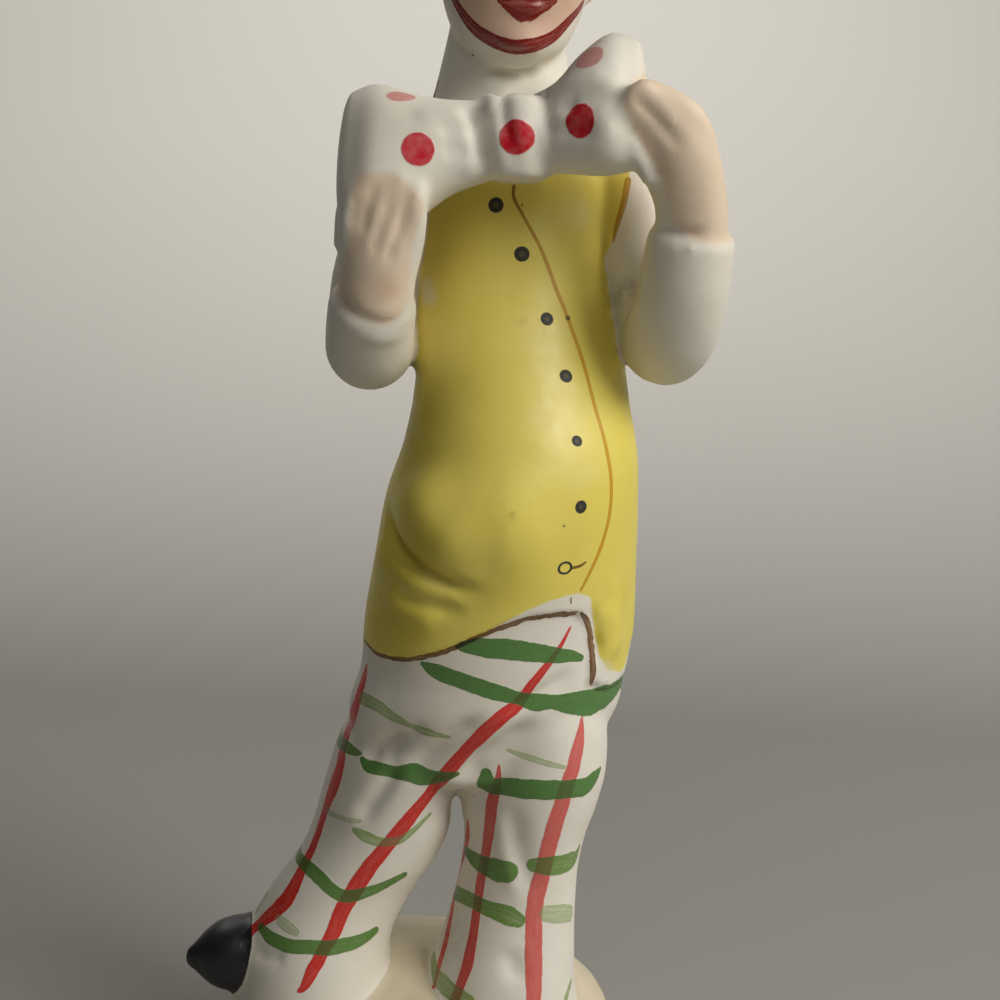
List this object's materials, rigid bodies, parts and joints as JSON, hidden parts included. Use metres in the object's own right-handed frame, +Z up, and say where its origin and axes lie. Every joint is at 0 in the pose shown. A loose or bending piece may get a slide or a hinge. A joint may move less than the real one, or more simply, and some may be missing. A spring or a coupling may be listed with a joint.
{
  "type": "ceramic clown figurine",
  "caption": "Hand-painted bisque clown figurine in a vest and check trousers, holding up a big spotted bow tie, on a low cream mound.",
  "frame": {"origin": "centre of the underside of the mound, on the surface it stands on", "axes": "+Z up through the head, -Y the way the figure looks, +X its left hand"},
  "size_m": [0.0816, 0.0618, 0.2048],
  "materials": {
    "bisque": "matt bisque porcelain, hand-painted with thin enamels"
  },
  "bodies": {
    "root": {"clown_figurine": "bisque"}
  },
  "joints": []
}
